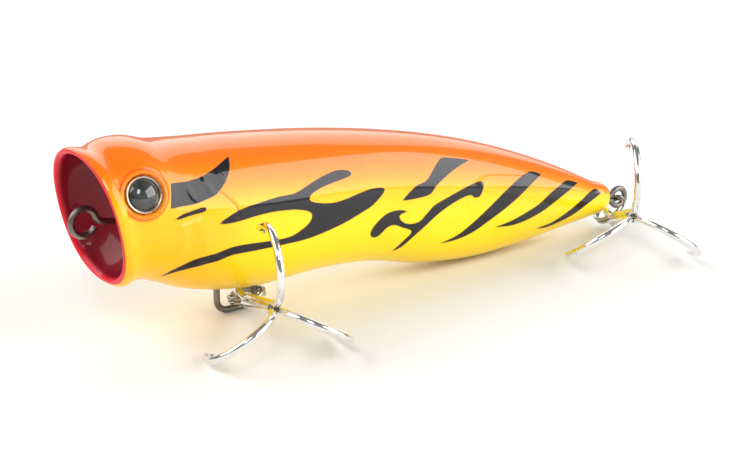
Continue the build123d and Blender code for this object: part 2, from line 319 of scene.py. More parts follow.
# Each ring is x, centre z, half height, half width, lean in degrees and power of its oval.
rings = []
cup_width, cup_height = FACE_WIDTH - LIP, FACE_HALF_HEIGHT - LIP * math.cos(lean)
CUP_ANGLES = (88, 84, 78, 71, 63, 54, 45, 36, 27, 19, 12, 6)        # degrees below the cup's mouth
for below in CUP_ANGLES:
    depth, share = CUP_DEPTH * math.sin(math.radians(below)), math.cos(math.radians(below))
    centre_x, centre_z = FACE_X + depth * math.cos(lean), FACE_Z + depth * math.sin(lean)
    rings.append((centre_x, centre_z, cup_height * share, cup_width * share, FACE_LEAN, 2.0))
# The rim's rings, from the cup outward: inset from the edge, distance back from the face, and power.
RIM = [
    (1.0, 0.35, 2.1), (0.80, 0.06, 2.15), (0.50, -0.05, 2.2), (0.20, 0.08, SECTION_POWER),
    (0.03, 0.42, SECTION_POWER),
]
rim_from = len(rings)
for inset, back, power in RIM:
    half_height = FACE_HALF_HEIGHT - inset * math.cos(lean)
    rings.append((FACE_X + back, FACE_Z, half_height, FACE_WIDTH - inset, FACE_LEAN, power))
rim_to = len(rings)
TAIL_TIP = [130.4, 130.9, 131.15, STATIONS[-1][0]]
outside = [*np.arange(1.7, 30, 0.95), *np.arange(30.5, 118, 2.4), *np.arange(118.5, 130, 1.4), *TAIL_TIP]
for x in outside:
    top, belly, width, tilt = smooth_row(STATIONS, x)
    rings.append((x, (top + belly) / 2, (top - belly) / 2, width, tilt, SECTION_POWER))
print(len(rings), "rings, rim at", rim_from, "to", rim_to)

# %% Extrude the tube
AROUND = 60
bpy.ops.object.select_all(action="DESELECT")
bpy.ops.mesh.primitive_circle_add(vertices=AROUND, radius=1.0, rotation=(0, math.pi / 2, 0))
body = bpy.context.object
body.name = "body_skin"
bpy.ops.object.transform_apply(rotation=True)
bpy.ops.object.mode_set(mode="EDIT")
bpy.ops.mesh.select_all(action="SELECT")
for _ in rings[1:]:
    bpy.ops.mesh.extrude_region_move(TRANSFORM_OT_translate={"value": (1.0, 0.0, 0.0)})
bpy.ops.mesh.select_all(action="DESELECT")
bpy.ops.mesh.select_non_manifold()
bpy.ops.mesh.fill_holes(sides=0)
bpy.ops.mesh.select_all(action="SELECT")
bpy.ops.mesh.normals_make_consistent(inside=False)
bpy.ops.object.mode_set(mode="OBJECT")
print("tube:", len(body.data.vertices), "vertices")


# %% Set each ring to its station
def coordinates(mesh):
    flat = np.empty(3 * len(mesh.vertices))
    mesh.vertices.foreach_get("co", flat)
    return flat.reshape(-1, 3)


def normals(mesh):
    flat = np.empty(3 * len(mesh.vertices))
    mesh.vertices.foreach_get("normal", flat)
    return flat.reshape(-1, 3)


def move_to(mesh, places):
    mesh.vertices.foreach_set("co", places.ravel())
    mesh.update()


def signed_power(value, power):
    return np.copysign(np.abs(value) ** power, value)


tube = coordinates(body.data)
number = np.rint(tube[:, 0]).astype(int)
angle = np.arctan2(tube[:, 1], tube[:, 2])
x, centre, half_height, half_width, tilt, power = np.array(rings)[number].T
rise = half_height * signed_power(np.cos(angle), 2 / power)
places = np.stack([
    x - rise * np.tan(np.radians(tilt)),
    half_width * signed_power(np.sin(angle), 2 / power),
    centre + rise,
], axis=1)
move_to(body.data, places)
ring_number = body.data.attributes.new("ring", "FLOAT", "POINT")
ring_number.data.foreach_set("value", number.astype(float))
print("body length", round(float(np.ptp(places[:, 0])), 1), "mm")

# %% [markdown]
# ## Smoothing before the fine shapes
# The fine shapes of the head are a millimetre wide, so the tube needs far smaller faces than its rings
# give. A Subdivision Surface modifier makes them and rounds the skin. It is applied, because the next
# steps move its vertices.

# %% Subdivide
def apply_modifier(obj, kind, **settings):
    """Adds a modifier to an object and applies it."""
    bpy.ops.object.select_all(action="DESELECT")
    obj.select_set(True)
    bpy.context.view_layer.objects.active = obj
    added = obj.modifiers.new(kind.lower(), kind)
    for key, value in settings.items():
        setattr(added, key, value)
    bpy.ops.object.modifier_apply(modifier=added.name)


apply_modifier(body, "SUBSURF", levels=2, render_levels=2)
print("skin:", len(body.data.vertices), "vertices")

# %% [markdown]
# ## Sculpting the head
# On the real lure these are cut into the mould: a raised collar round each eye with a fold behind it, soft
# gill ridges on the cheek, ribs behind the eye, and one thin engraved line where the gill plate ends. They
# are pushed up or down along the skin's normals, as a sculpting brush would do it. Both flanks get the
# same strokes, because the distance to a stroke is measured in side view.

# %% Strokes in side view
def smooth_outline(points, closed=True, steps=8):
    """A smooth curve through side-view points. A point given twice is a sharp corner."""
    p = [np.array(q, float) for q in points]
    count = len(p)
    curve = []
    for k in range(count if closed else count - 1):
        a, b = p[k], p[(k + 1) % count]
        if np.array_equal(a, b):
            continue
        before = p[(k - 1) % count] if closed or k else a
        after = p[(k + 2) % count] if closed or k + 2 < count else b
        for t in np.arange(steps) / steps:
            curve.append(0.5 * (
                2 * a + (b - before) * t
                + (2 * before - 5 * a + 4 * b - after) * t ** 2
                + (3 * a - before - 3 * b + after) * t ** 3
            ))
    if not closed:
        curve.append(p[-1])
    return np.array(curve)


def distance_to(curve, spots, closed=True):
    """Distance from side-view spots to a curve, and whether each spot is inside it."""
    ends = np.roll(curve, -1, axis=0) if closed else curve[1:]
    starts = curve if closed else curve[:-1]
    nearest, inside = np.full(len(spots), 1e9), np.zeros(len(spots), bool)
    for a, b in zip(starts, ends):
        run = b - a
        t = np.clip((spots - a) @ run / max(run @ run, 1e-12), 0, 1)
        nearest = np.minimum(nearest, np.hypot(*(spots - a - t[:, None] * run).T))
        crosses = (a[1] > spots[:, 1]) != (b[1] > spots[:, 1])
        if a[1] != b[1]:
            inside ^= crosses & (spots[:, 0] < a[0] + (spots[:, 1] - a[1]) * run[0] / run[1])
    return nearest, inside


GILL_RIDGES = [
    [(12.1, 4.0), (14.2, 1.0), (14.3, -2.6), (13.3, -5.5)],
    [(16.1, 4.5), (18.8, 0.0), (19.3, -4.2), (17.9, -7.4)],
]
EYE_RIBS = [
    [(14.2, 9.8), (15.6, 7.8), (16.8, 6.2)],
    [(17.8, 10.8), (19.4, 9.0), (20.6, 7.4)],
    [(21.2, 12.2), (22.6, 10.8), (23.6, 9.4)],
]
GILL_LINE = [(20.5, 9.2), (23.7, 7.0), (25.4, 5.5), (26.1, 4.2), (25.8, 2.8)]
CHEEK_FOLD = [(8.0, 1.0), (11.0, 1.4), (14.5, 3.0), (18.0, 4.0)]

# Each kind of stroke: its lines, height along the normal and width.
STROKES = [
    (GILL_RIDGES, 0.28, 1.2), (EYE_RIBS, 0.22, 0.60), ([GILL_LINE], -0.20, 0.22), ([CHEEK_FOLD], -0.22, 0.6),
]

skin, out = coordinates(body.data), normals(body.data)
ring_values = np.empty(len(skin))
body.data.attributes["ring"].data.foreach_get("value", ring_values)
flank = ring_values > rim_to + 0.5
side_view = skin[:, [0, 2]]
push = np.zeros(len(skin))
beside = np.clip((np.abs(skin[:, 1]) - 4.0) / 3.0, 0, 1)        # nothing crosses the back or the belly
for strokes, height, width in STROKES:
    for stroke in strokes:
        line = smooth_outline(stroke, closed=False)
        away, _ = distance_to(line, side_view, closed=False)
        ends = np.minimum(np.hypot(*(side_view - line[0]).T), np.hypot(*(side_view - line[-1]).T))
        push += height * np.exp(-(away / width) ** 2) * np.clip(ends / (2 * width), 0.15, 1)
push *= beside * flank
skin = skin + out * push[:, None]
move_to(body.data, skin)
print("strokes moved", int((np.abs(push) > 0.02).sum()), "vertices")

# %% [markdown]
# ## Eye sockets
# Each eye sits in a flat-bottomed seat inside a raised collar. The seat's place and facing are read from the
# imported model's eye disc, and its width fits the drawn eye, which is a little smaller than that disc. Near
# the eye, a vertex's height over the disc's plane is replaced by the height of the collar's profile at that
# distance from the eye's axis.


# %% Eye planes
def node_points(name):
    return coordinates(frame["nodes"][name].data)


REST_TO_LEVEL = np.array(LEVEL_TO_REST.inverted())


def to_level(points):
    return points @ REST_TO_LEVEL[:3, :3].T + REST_TO_LEVEL[:3, 3]


eyes = {}
for side in ("left", "right"):
    disc = to_level(node_points(f"{side}_eye_disc"))
    dome = to_level(node_points(f"{side}_eye_dome"))
    low, high = disc.mean(axis=0), dome.mean(axis=0)
    spread = np.linalg.eigh(np.cov((disc - low).T))
    facing = spread[1][:, 0] * np.sign(spread[1][:, 0] @ (high - low))
    top = low + facing * np.max((disc - low) @ facing)
    eyes[side] = (top, facing)
    print(side, "eye at", np.round(top, 2), "faces", np.round(facing, 2))

# %% Raise the collars
# Distance from the eye's axis, height over the disc's plane, and how fully it replaces the skin there.
COLLAR = [
    (0.0, -0.60, 1.0), (3.62, -0.60, 1.0), (3.80, 0.10, 1.0), (4.00, 0.40, 1.0), (4.30, 0.55, 0.95),
    (4.65, 0.42, 0.85), (5.00, 0.00, 0.70), (5.35, -0.35, 0.45), (5.8, -0.35, 0.20), (6.7, 0.0, 0.0),
]
collar = np.array(COLLAR)
FAR = 9.0                               # stands for "not near" in every distance kept on the skin
skin, behind_rim = coordinates(body.data), ring_values > rim_to + 1.5
eye_reach = np.full(len(skin), FAR)
for centre_point, facing in eyes.values():
    offset = skin - centre_point
    height = offset @ facing
    reach = np.linalg.norm(offset - height[:, None] * facing, axis=1)
    near = (reach < collar[-1, 0]) & (np.abs(height) < 6) & behind_rim & (skin[:, 1] * facing[1] > 0)
    wanted = np.interp(reach, collar[:, 0], collar[:, 1])
    share = np.interp(reach, collar[:, 0], collar[:, 2]) * near
    skin = skin + facing * (share * (wanted - height))[:, None]
    eye_reach = np.where(near, reach, eye_reach)
move_to(body.data, skin)
print("collars raised")

# %% [markdown]
# ## Where the paint marks lie
# The black marks are sprayed through a mask, the same on both flanks. They could be a drawn texture, but
# plain outlines are sharper and need no picture. Each outline is a smooth curve through points in side view,
# in level millimetres, and a point given twice is a sharp tip. Every vertex stores its distance to the
# nearest outline, below zero inside a mark, and the paint turns black where that passes zero.

# %% Mark outlines
MARKS = {
    "cheek_crescent": [
        (11.2, 10.0), (11.2, 10.0), (15.0, 10.2), (18.7, 11.0), (22.0, 12.3), (25.8, 14.0), (25.8, 14.0),
        (24.6, 11.4), (21.6, 8.1), (18.8, 6.9), (16.4, 6.2), (13.3, 5.8), (10.8, 5.5), (10.8, 5.5),
    ],
    "cheek_dash": [
        (11.6, 3.2), (11.6, 3.2), (13.2, 4.2), (15.2, 4.8), (17.5, 5.4), (18.6, 5.4), (18.4, 4.7),
        (15.6, 4.1), (13.2, 3.5),
    ],
    "shoulder_flame": [
        (21.6, 2.2), (21.6, 2.2), (24.8, 4.0), (27.4, 5.0), (31.2, 5.9), (35.1, 6.7), (39.0, 7.2),
        (41.5, 8.2), (44.2, 9.4), (47.0, 10.4), (50.0, 11.1), (52.6, 10.9), (53.3, 10.3), (52.2, 9.7),
        (48.0, 8.7), (44.8, 7.7), (42.8, 6.5), (43.2, 5.5), (46.0, 5.0), (49.0, 5.0), (52.0, 5.6),
        (55.0, 6.5), (58.0, 7.2), (60.8, 7.3), (61.5, 6.6), (58.8, 4.0), (55.9, 2.5), (52.0, 0.7),
        (47.5, -0.9), (43.0, -2.1), (37.4, -2.9), (30.1, -3.8), (26.0, -4.3), (23.0, -5.4), (20.1, -6.1),
        (17.2, -6.9), (14.6, -8.0), (12.7, -9.4), (12.7, -9.4), (14.0, -7.4), (16.0, -5.9), (18.6, -4.5),
        (22.0, -3.8), (25.3, -2.7), (29.0, -2.2), (34.0, -1.9), (38.5, -1.4), (41.2, -0.2), (43.2, 1.4),
        (43.5, 2.9), (42.2, 3.7), (38.9, 4.1), (34.0, 3.9), (29.6, 3.2), (25.8, 2.4), (23.2, 2.1),
    ],
    "back_flag": [
        (78.6, 12.2), (85.6, 11.4), (85.6, 11.4), (82.6, 10.6), (79.2, 9.3), (75.5, 7.2), (73.6, 5.4),
        (70.0, 4.7), (66.2, 4.4), (66.2, 4.4), (69.4, 7.0), (72.6, 8.2), (74.8, 10.3), (76.8, 11.8),
    ],
    "flank_fork": [
        (87.9, 7.2), (88.5, 6.2), (87.6, 4.3), (86.0, 4.0), (84.8, 4.6), (82.4, 4.1), (79.0, 2.7),
        (76.0, 0.9), (73.3, -1.4), (71.0, -3.6), (69.0, -6.0), (67.2, -7.1), (67.2, -7.1), (68.6, -4.8),
        (70.1, -2.8), (69.8, -2.0), (67.5, -1.3), (65.2, -0.6), (63.4, -1.1), (61.6, -2.9), (60.0, -2.9),
        (59.4, -1.7), (60.3, 0.0), (62.6, 1.9), (65.5, 2.5), (68.6, 2.2), (68.6, 2.2), (66.2, 1.5),
        (66.7, 0.3), (68.8, -0.6), (71.5, -0.3), (73.1, 1.2), (75.0, 3.0), (78.0, 4.3), (82.0, 5.8),
        (85.6, 6.9),
    ],
    "tail_stripe_front": [
        (103.4, 8.1), (106.8, 7.3), (106.8, 7.3), (103.0, 5.6), (99.3, 3.4), (95.6, 1.2), (91.0, -1.3),
        (87.0, -3.6), (83.0, -5.0), (78.8, -5.7), (78.8, -5.7), (83.0, -3.9), (86.6, -1.3), (91.0, 2.0),
        (95.0, 4.8), (99.6, 7.2),
    ],
    "tail_stripe_middle": [
        (115.3, 5.4), (119.0, 4.6), (119.0, 4.6), (114.6, 2.9), (110.9, 1.2), (107.0, -0.6),
        (102.5, -2.1), (98.2, -2.9), (93.2, -2.9), (93.2, -2.9), (98.0, -1.8), (102.7, -0.1),
        (106.0, 1.3), (109.0, 3.1), (112.4, 4.6),
    ],
    "tail_stripe_rear": [
        (125.2, 2.8), (126.9, 1.8), (126.9, 1.8), (122.0, -0.4), (118.0, -2.4), (113.1, -4.0),
        (109.7, -4.6), (106.6, -4.5), (106.6, -4.5), (110.5, -3.8), (113.2, -2.8), (117.0, -0.9),
        (120.5, 1.1), (123.0, 2.4),
    ],
}


def add_attribute(obj, name, values):
    obj.data.attributes.new(name, "FLOAT", "POINT").data.foreach_set("value", np.asarray(values, float))


skin = coordinates(body.data)
side_view = skin[:, [0, 2]]
mark = np.full(len(skin), FAR)
for points in MARKS.values():
    curve = smooth_outline(points)
    close = np.all((side_view > curve.min(axis=0) - 2) & (side_view < curve.max(axis=0) + 2), axis=1)
    away, inside = distance_to(curve, side_view[close])
    mark[close] = np.minimum(mark[close], np.where(inside, -away, away))
mark = np.where(flank, mark, FAR)
line_away, _ = distance_to(smooth_outline(GILL_LINE, closed=False), side_view, closed=False)
add_attribute(body, "mark", mark)
add_attribute(body, "gill_line", np.where(flank, line_away, FAR))
print(len(MARKS), "marks,", int((mark < 0).sum()), "vertices inside them")

# %% [markdown]
# ## Orange over yellow
# The yellow is sprayed first and the orange is misted over the back, so the change is a wide soft step that
# sinks with the back towards the tail. Two more numbers go on the vertices for it: the height as a share
# of the back's height at that station, and how many rings the vertex lies outside the start of the rim.

# %% Height and rim numbers
along_body = np.linspace(STATIONS[0][0], STATIONS[-1][0], 200)
back_height = np.array([smooth_row(STATIONS, x)[0] for x in along_body])
height_share = skin[:, 2] / np.interp(skin[:, 0], along_body, back_height)
add_attribute(body, "height_share", np.clip(height_share, -1.5, 1.5))
add_attribute(body, "over_rim", ring_values - rim_from)
add_attribute(body, "eye_reach", eye_reach)
print("height share", round(float(height_share.min()), 2), "to", round(float(height_share.max()), 2))

# %% [markdown]
# ## Cutting the skin into two moulded halves
# The real body is two shells joined along the middle. The finished skin is bisected on that plane, with its
# cut filled, once for each side. The eyes and wires then sit in or between the two closed pieces. The paint
# comes here too: yellow to orange up the flank, warmer on the cheek and belly, red from the rim into the
# cup, and black marks. The clear coat is thinner in the cup and under the belly.

# %% Left and right halves
def finish_piece(obj, node, rides_on, material, place=LEVEL_TO_REST, angle=35):
    """Puts a finished piece where it rests, gives it its material, hides the packed node it stands for, and
    prints how near its box is to that node's.
    """
    obj.data.transform(place)
    obj.data.materials.clear()
    obj.data.materials.append(material)
    bpy.ops.object.select_all(action="DESELECT")
    obj.select_set(True)
    bpy.context.view_layer.objects.active = obj
    bpy.ops.object.shade_smooth_by_angle(angle=math.radians(angle))
    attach(obj, rides_on)
    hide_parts(node)
    low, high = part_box(node)
    points = coordinates(obj.data)
    off = np.abs([points.min(axis=0) - np.array(low), points.max(axis=0) - np.array(high)]).max()
    print(f"{obj.name}: {len(obj.data.polygons)} faces, box within {off / MM:.2f} mm of the packed one")


paint = Finish(
    "sprayed_paint",
    Roughness=0.35, Coat_Weight=1.0, Coat_Roughness=0.06, Coat_IOR=1.45, Specular_IOR_Level=0.12,
)
paint_mist = paint.noise(900.0, 3.0)
paint_cloud = paint.noise(60.0, 2.0)
share = paint.attribute("height_share") + 0.10 * (paint_cloud - 0.5) + 0.06 * (paint_mist - 0.5)
orange = share.step(0.02, 0.92)
coat_colour = paint.node(
    "ValToRGB",
    {"stops": [
        (0.0, (1.0, 0.76, 0.0)), (0.35, (1.0, 0.60, 0.0)), (0.60, (1.0, 0.38, 0.0)), (1.0, (1.0, 0.175, 0.0)),
    ]},
    {"Fac": orange},
)
belly_warmth = paint.attribute("height_share").step(-0.15, -0.95) * 0.35
coat_colour = paint.blend(belly_warmth, coat_colour, (1.0, 0.50, 0.0))
along = paint.node("SeparateXYZ", {}, {"Vector": paint.place()}, "X")
cheek_warmth = along.step(0.036, 0.014) * 0.70
coat_colour = paint.blend(cheek_warmth * (1 - orange), coat_colour, (1.0, 0.47, 0.0))
line_paint = paint.attribute("gill_line").step(0.30, 0.12) * 0.75
coat_colour = paint.blend(line_paint, coat_colour, (0.90, 0.14, 0.0))
collar_paint = paint.attribute("eye_reach").step(5.0, 4.5)
coat_colour = paint.blend(collar_paint * 0.85, coat_colour, (1.0, 0.26, 0.004))
collar_line = paint.attribute("eye_reach")
collar_line = collar_line.step(4.50, 4.75) * collar_line.step(5.10, 4.85)
coat_colour = paint.blend(collar_line * 0.85, coat_colour, (0.85, 0.09, 0.0))
black = paint.attribute("mark").step(0.05, -0.05)
edge_fringe = paint.attribute("mark").step(0.32, 0.02) * 0.35
coat_colour = paint.blend(edge_fringe, coat_colour, (0.75, 0.22, 0.0))
coat_colour = paint.blend(black, coat_colour, (0.006, 0.005, 0.009))
red = paint.attribute("over_rim")
cup_red = paint.blend(red.step(-1.5, 0.6), (0.20, 0.002, 0.012), (0.78, 0.014, 0.034))
coat_colour = paint.blend(red.step(4.0, 2.8), coat_colour, cup_red)
grain = paint.noise(2600.0, 2.0)
peel = paint.noise(420.0, 2.0)
roughness = 0.28 + 0.10 * paint_mist + 0.05 * grain
under_belly = paint.attribute("height_share").step(0.05, -0.55) * red.step(2.8, 4.0)
clear_coat = 1 - 0.65 * red.step(4.0, 2.8) - 0.45 * under_belly
painted = paint.wear(
    Base_Color=coat_colour,
    Coat_Weight=clear_coat,
    Roughness=roughness,
    Normal=paint.bump(peel * 0.7 + grain * 0.3, 0.10, 0.00004),
)

HALVES = {"left": {"clear_outer": True}, "right": {"clear_inner": True}}
for side, keep in HALVES.items():
    bpy.ops.object.select_all(action="DESELECT")
    body.select_set(True)
    bpy.context.view_layer.objects.active = body
    bpy.ops.object.duplicate()
    half = bpy.context.object
    half.name = f"body_{side}"
    bpy.ops.object.mode_set(mode="EDIT")
    bpy.ops.mesh.select_all(action="SELECT")
    bpy.ops.mesh.bisect(plane_co=(0, 0, 0), plane_no=(0, 1, 0), use_fill=True, **keep)
    bpy.ops.object.mode_set(mode="OBJECT")
    finish_piece(half, f"body_{side}_half", "lure_body", painted)
bpy.data.objects.remove(body)

# %% [markdown]
# ## Eyes
# Each eye is a round foil with a bright raised edge, under a domed bead of dark resin.
# Round pieces like these could be spun from a profile. Here a circle is extruded and scaled once for each
# step of the profile, which gives the same form and leaves the rings easy to see.


# %% Turned pieces
def turned(name, profile, around=64):
    """A closed round piece about +Z, from a profile of radius and height, bottom first."""
    bpy.ops.object.select_all(action="DESELECT")
    radius, height = profile[0]
    bpy.ops.mesh.primitive_circle_add(vertices=around, radius=radius, location=(0, 0, 0))
    piece = bpy.context.object
    piece.name = name
    bpy.ops.object.mode_set(mode="EDIT")
    bpy.ops.mesh.select_all(action="SELECT")
    bpy.ops.transform.translate(value=(0, 0, height))
    for wider, higher in profile[1:]:
        bpy.ops.mesh.extrude_region_move(TRANSFORM_OT_translate={"value": (0, 0, higher - height)})
        bpy.ops.transform.resize(value=(wider / radius, wider / radius, 1), center_override=(0, 0, higher))
        radius, height = wider, higher
    bpy.ops.mesh.select_all(action="DESELECT")
    bpy.ops.mesh.select_non_manifold()
    bpy.ops.mesh.fill_holes(sides=0)
    bpy.ops.mesh.select_all(action="SELECT")
    bpy.ops.mesh.normals_make_consistent(inside=False)
    bpy.ops.object.mode_set(mode="OBJECT")
    return piece


def facing_place(point, facing):
    """Level millimetres with +Z along facing, at a level point, taken to the resting place."""
    turn = Vector(facing).to_track_quat("Z", "X").to_matrix().to_4x4()
    return LEVEL_TO_REST @ Matrix.Translation(Vector(point)) @ turn


foil = Finish("crinkled_foil", Metallic=1.0, Base_Color=(0.82, 0.81, 0.78, 1.0), Roughness=0.22)
crinkle = foil.noise(1500.0, 3.0)
eye_foil = foil.wear(
    Base_Color=foil.blend(crinkle, (0.40, 0.33, 0.26), (0.66, 0.56, 0.46)),
    Roughness=0.20 + 0.15 * crinkle,
    Normal=foil.bump(crinkle, 0.10, 0.00002),
)
resin = Finish("dark_resin", Roughness=0.06, Coat_Weight=1.0, Coat_Roughness=0.02, Specular_IOR_Level=0.6)
# The dark resin's colour is lighter in soft noise patches: a painted glint of the foil under the bead.
foil_glint_cloud = resin.noise(420.0, 3.0)
eye_resin = resin.wear(
    Base_Color=resin.blend(foil_glint_cloud.step(0.35, 0.75), (0.016, 0.018, 0.018), (0.060, 0.066, 0.064)),
    Roughness=0.04 + 0.05 * resin.noise(2500.0),
)
EYE_RING = [                            # radius and height over the eye's plane
    (3.56, -0.50), (3.64, -0.42), (3.64, 0.10), (3.58, 0.26), (3.44, 0.36), (3.26, 0.34), (3.06, 0.18),
    (2.94, -0.05), (0.5, -0.06),
]
DOME_RADIUS, DOME_RISE = 2.95, 1.40
dome_ball = (DOME_RADIUS ** 2 + DOME_RISE ** 2) / (2 * DOME_RISE)
edge_angle = math.asin(DOME_RADIUS / dome_ball)
DOME = [(DOME_RADIUS - 0.06, -0.04)] + [
    (dome_ball * math.sin(a), DOME_RISE - dome_ball + dome_ball * math.cos(a))
    for a in np.linspace(edge_angle, 0.06, 14)
]
for side, (centre_point, facing) in eyes.items():
    place = facing_place(centre_point, facing)
    ring = turned(f"{side}_eye_foil_ring", EYE_RING)
    finish_piece(ring, f"{side}_eye_disc", "lure_body", eye_foil, place)
    bead = turned(f"{side}_eye_bead", DOME)
    finish_piece(bead, f"{side}_eye_dome", "lure_body", eye_resin, place, angle=60)

# %% [markdown]
# ## Wires
# The through wire, the belly staple and the split rings are bent round wire. Wire is drawn as a curve along
# its centre line with a round bevel, which is then made a mesh. The through wire makes an open loop at each
# end: the lead bends up a little and runs round a full eye, and the wire stops just short of itself.


# %% Round wire along a centre line
def wire(name, centre_line, radius, sides=5):
    """A closed mesh of round wire along a list of 3-D points."""
    curve = bpy.data.curves.new(name, "CURVE")
    curve.dimensions = "3D"
    curve.bevel_depth, curve.bevel_resolution, curve.use_fill_caps = radius, sides, True
    spline = curve.splines.new("POLY")
    spline.points.add(len(centre_line) - 1)
    for knot, point in zip(spline.points, centre_line):
        knot.co = (*point, 1.0)
    piece = bpy.data.objects.new(name, curve)
    bpy.context.collection.objects.link(piece)
    bpy.ops.object.select_all(action="DESELECT")
    piece.select_set(True)
    bpy.context.view_layer.objects.active = piece
    bpy.ops.object.convert(target="MESH")
    piece = bpy.context.object
    bpy.ops.object.mode_set(mode="EDIT")
    bpy.ops.mesh.select_all(action="SELECT")
    bpy.ops.mesh.remove_doubles(threshold=0.005)
    bpy.ops.mesh.normals_make_consistent(inside=False)
    bpy.ops.object.mode_set(mode="OBJECT")
    return piece


def arc(centre, radius, start, end, steps):
    """Points on an arc in the upright mid-plane, angles in degrees from +X towards +Z."""
    sweep = np.radians(np.linspace(start, end, steps))
    return [(centre[0] + radius * math.cos(a), 0.0, centre[1] + radius * math.sin(a)) for a in sweep]


WIRE_RADIUS = 0.65
TOW_LOOP, TAIL_LOOP, LOOP_RETURN, LOOP_GAP = 2.70, 1.95, 2.2, 21.0


def loop_end(radius):
    """An eye about the origin and the start of the lead that runs off along +X."""
    take_off = math.sqrt((radius + LOOP_RETURN) ** 2 - LOOP_RETURN ** 2)
    meet = math.degrees(math.atan2(LOOP_RETURN, take_off))
    eye = arc((0, 0), radius, 360 - LOOP_GAP, meet, 56)
    return eye + arc((take_off, LOOP_RETURN), LOOP_RETURN, meet - 180, -90, 12)[1:]


tow_end, tail_end = loop_end(TOW_LOOP), loop_end(TAIL_LOOP)
through_line = tow_end + [(TAIL_EYE_X - px, 0.0, pz) for px, _, pz in reversed(tail_end)]


def metal(name, colour, roughness, streak, pitting=0.18, **fixed):
    """A worn metal: its colour drifts with a soft cloud, and its roughness with a fine grain."""
    made = Finish(name, Metallic=1.0, **fixed)
    cloud = made.noise(260.0, 3.0)
    drawn = made.noise(900.0, 4.0, roughness=0.7)
    dark = tuple(streak * channel for channel in colour)
    return made.wear(
        Base_Color=made.blend(cloud.step(0.30, 0.72), dark, colour),
        Roughness=roughness * (0.75 + 0.5 * drawn),
        Normal=made.bump(drawn, pitting, 0.00003),
    )


wire_steel = metal("bent_steel", (0.27, 0.255, 0.225), 0.36, 0.60)
ring_steel = metal("spring_steel", (0.62, 0.60, 0.55), 0.20, 0.62)
through = wire("through_wire_bent", through_line, WIRE_RADIUS, 6)
finish_piece(through, "through_wire", "lure_body", wire_steel, angle=50)

# %% Belly staple
REST = Matrix.Scale(MM, 4)
staple_low, staple_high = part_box("belly_hanger")
STAPLE_BEND, STAPLE_FOOT = 2.3, 3.4
front = staple_low[0] / MM + STAPLE_FOOT
rear = staple_high[0] / MM - STAPLE_FOOT
bar, feet = staple_low[2] / MM + WIRE_RADIUS, staple_high[2] / MM - WIRE_RADIUS
bend = STAPLE_BEND
staple_line = (
    [(front - STAPLE_FOOT, 0, feet)]
    + arc((front - bend, feet - bend), bend, 90, 0, 10)
    + arc((front + bend, bar + bend), bend, 180, 270, 14)
    + arc((rear - bend, bar + bend), bend, 270, 360, 14)
    + arc((rear + bend, feet - bend), bend, 180, 90, 10)
    + [(rear + STAPLE_FOOT, 0, feet)]
)
staple = wire("belly_staple", staple_line, WIRE_RADIUS, 6)
finish_piece(staple, "belly_hanger", "lure_body", wire_steel, REST, angle=50)

# %% [markdown]
# ## Split rings
# A split ring is two flat turns of fine wire that cross over once, so that a hook can be worked on to it.
# Each is drawn about +Z with its two turns side by side and a short ramp between them.

# %% Two turns with a cross-over
RING_RADIUS, RING_WIRE, RING_PITCH, RING_RAMP = 3.6, 0.75, 0.8, 60.0
RINGS = {                               # centre in resting millimetres, and the way the ring's plane faces
    "belly": (Vector((35.43, -0.66, -21.64)), Vector((-0.143, 0.158, 0.977))),
    "tail": (Vector((129.78, -1.38, -20.84)), Vector((-0.580, 0.189, 0.792))),
}
turns = np.arange(0, 2 * (360 - RING_RAMP) + RING_RAMP + 0.1, 6.0)
ramp = np.clip((turns - (360 - RING_RAMP)) / RING_RAMP, 0, 1)
climb = RING_PITCH * (ramp * ramp * (3 - 2 * ramp) - 0.5)
ring_line = [
    (RING_RADIUS * math.cos(a), RING_RADIUS * math.sin(a), z) for a, z in zip(np.radians(turns), climb)
]
for word, (centre_point, facing) in RINGS.items():
    split = wire(f"{word}_split_ring_turns", ring_line, RING_WIRE / 2, 5)
    turn = facing.to_track_quat("Z", "X").to_matrix().to_4x4()
    finish_piece(
        split, f"{word}_split_ring", f"{word}_ring", ring_steel,
        REST @ Matrix.Translation(centre_point) @ turn, angle=50,
    )

# %% [markdown]
# ## Treble hooks
# A treble is a bent pair, one wire with the eye between its two arms, and a single arm brazed against it.
# One arm is drawn with operators: a round section is extruded down the shank, spun round the bend, extruded
# up the neck and drawn in to a needle point. The barb is raised from the inside of the neck: faces there
# are pulled out and back. All three arms come from this one function, each turned to its own angle.

# %% One barbed arm
HOOK_WIRE, HOOK_REACH, HOOK_SHANK, HOOK_POINT, POINT_LEAN = 1.5, 15.7, 25.4, 7.3, 7.0
POINT_TAPER, HOOK_EYE, SHANK_GAP = 4.0, 2.05, 0.05
BARB_STEP, BARB_RISE, BARB_BACK, BARB_TIP_BACK, BARB_TIP_SHARE = 1.1, 0.62, 0.75, 1.9, 0.22
SHANK_OFFSET = (HOOK_WIRE + SHANK_GAP) / math.sqrt(3)
BEND_RADIUS = (HOOK_REACH - SHANK_OFFSET) / 2
BEND_CENTRE = Vector((SHANK_OFFSET + BEND_RADIUS, 0, -HOOK_SHANK))
point_tilt = math.radians(POINT_LEAN)
UP_POINT = Vector((-math.sin(point_tilt), 0, math.cos(point_tilt)))
INWARD = Vector((-UP_POINT.z, 0, UP_POINT.x))
POINT_STEPS = [(0.45, 0.97), (1.2, 0.86), (2.1, 0.66), (3.0, 0.40), (3.6, 0.20), (4.0, 0.07)]


